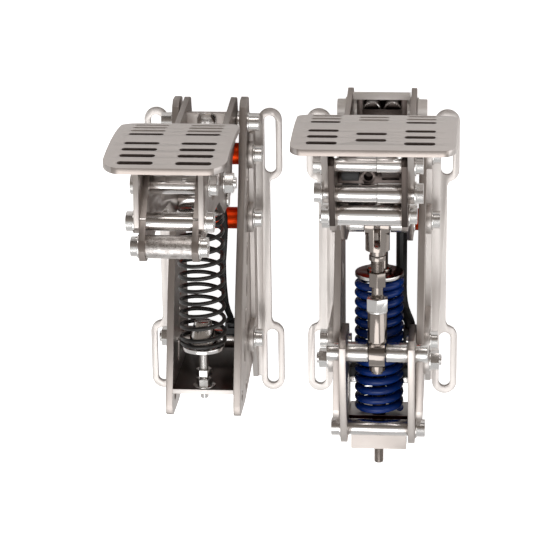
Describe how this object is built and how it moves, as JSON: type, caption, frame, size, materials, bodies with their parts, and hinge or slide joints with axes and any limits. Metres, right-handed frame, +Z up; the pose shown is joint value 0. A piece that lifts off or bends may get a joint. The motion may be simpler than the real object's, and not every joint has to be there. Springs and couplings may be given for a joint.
{
  "type": "sim racing pedal set",
  "caption": "Floor-standing throttle and brake pedal pair: slotted curved foot plates on steel arms over slotted base brackets, with a coil spring behind each arm.",
  "frame": {"origin": "centre of the assembly's base at the underside of the feet", "axes": "+Z up from the floor, +Y towards the driver's heels, +X from the throttle towards the brake"},
  "size_m": [0.232, 0.2948, 0.2505],
  "materials": {
    "brushed_plate": "brushed stainless sheet",
    "turned_steel": "polished turned steel",
    "bolt_steel": "polished fasteners",
    "orange_tube": "orange-red anodised",
    "black_spring": "black powder coat",
    "blue_spring": "glossy dark blue paint",
    "black_plastic": "moulded black",
    "black_rubber": "rubber"
  },
  "bodies": {
    "frame": {"throttle_side_plates": "brushed_plate", "throttle_foot_left": "brushed_plate", "throttle_foot_right": "brushed_plate", "throttle_spacer_tubes": "orange_tube", "throttle_rear_tube": "turned_steel", "throttle_rear_plate": "brushed_plate", "throttle_frame_bolts": "bolt_steel", "throttle_frame_nuts": "bolt_steel", "throttle_pivot_pin": "bolt_steel", "throttle_spring": "black_spring", "throttle_spring_seat": "turned_steel", "throttle_spring_nuts": "bolt_steel", "throttle_sensor": "black_plastic", "throttle_cable": "black_rubber", "throttle_cable_gland": "black_plastic", "brake_side_plates": "brushed_plate", "brake_foot_left": "brushed_plate", "brake_foot_right": "brushed_plate", "brake_spacer_tubes": "orange_tube", "brake_pivot_cheeks": "brushed_plate", "brake_stop_plate": "brushed_plate", "brake_bumpers": "black_rubber", "brake_frame_bolts": "bolt_steel", "brake_frame_nuts": "bolt_steel", "brake_pivot_pin": "bolt_steel", "brake_rear_plates": "brushed_plate", "brake_rear_tubes": "turned_steel", "brake_load_cell": "black_plastic", "brake_cell_plate": "brushed_plate", "brake_strut_pin": "bolt_steel", "brake_spring": "blue_spring", "brake_spring_perch": "brushed_plate", "brake_end_bracket": "brushed_plate", "brake_cable": "black_rubber", "brake_cable_clip": "black_plastic", "brake_cable_gland": "black_plastic"},
    "throttle_arm": {"throttle_arm_plates": "brushed_plate", "throttle_arm_tubes": "turned_steel", "throttle_arm_bolts": "bolt_steel", "throttle_links": "brushed_plate", "throttle_face_plate": "brushed_plate", "throttle_face_bolts": "bolt_steel", "throttle_spring_cup": "turned_steel", "throttle_stop_plate": "brushed_plate", "throttle_stop_bolt": "bolt_steel", "throttle_mid_bolt": "bolt_steel"},
    "brake_arm": {"brake_arm_plates": "brushed_plate", "brake_arm_tubes": "turned_steel", "brake_arm_bolts": "bolt_steel", "brake_links": "brushed_plate", "brake_face_plate": "brushed_plate", "brake_face_bolts": "bolt_steel", "brake_arm_bridge": "brushed_plate", "brake_pusher": "brushed_plate"},
    "strut_sleeve": {"brake_strut_sleeve": "turned_steel", "brake_sleeve_nut": "bolt_steel"},
    "strut_rod": {"brake_strut_rod": "turned_steel", "brake_strut_nuts": "bolt_steel"},
    "guide_rod": {"brake_guide_rod": "turned_steel", "brake_spring_washer": "bolt_steel"}
  },
  "joints": [
    {"name": "throttle_pedal", "type": "hinge", "parent": "frame", "child": "throttle_arm", "pos_m": [-0.06525, 0.1006, 0.016], "axis": [1, 0, 0], "range_deg": [0, 10], "stiffness_Nm_per_rad": 18, "springref_deg": -8.59, "deforming": ["throttle_spring"]},
    {"name": "brake_pedal", "type": "hinge", "parent": "frame", "child": "brake_arm", "pos_m": [0.05975, 0.1116, 0.014], "axis": [1, 0, 0], "range_deg": [0, 6], "stiffness_Nm_per_rad": 90, "springref_deg": -5.73, "deforming": ["brake_spring"]},
    {"name": "strut_swing", "type": "hinge", "parent": "frame", "child": "strut_sleeve", "pos_m": [0.05975, -0.0494, 0.088], "axis": [-1, 0, 0], "range_deg": [0, 4.53]},
    {"name": "strut_travel", "type": "slide", "parent": "strut_sleeve", "child": "strut_rod", "axis": [0, -1, 0], "range_m": [0, 0.0071]},
    {"name": "guide_rod_travel", "type": "slide", "parent": "frame", "child": "guide_rod", "axis": [0, -1, 0], "range_m": [0, 0.00484]}
  ],
  "couplings": [
    {"joint": "strut_swing", "follows": "brake_pedal", "ratio": 0.755},
    {"joint": "strut_travel", "follows": "brake_pedal", "m_per_rad": 0.0678},
    {"joint": "guide_rod_travel", "follows": "brake_pedal", "m_per_rad": 0.0462}
  ]
}
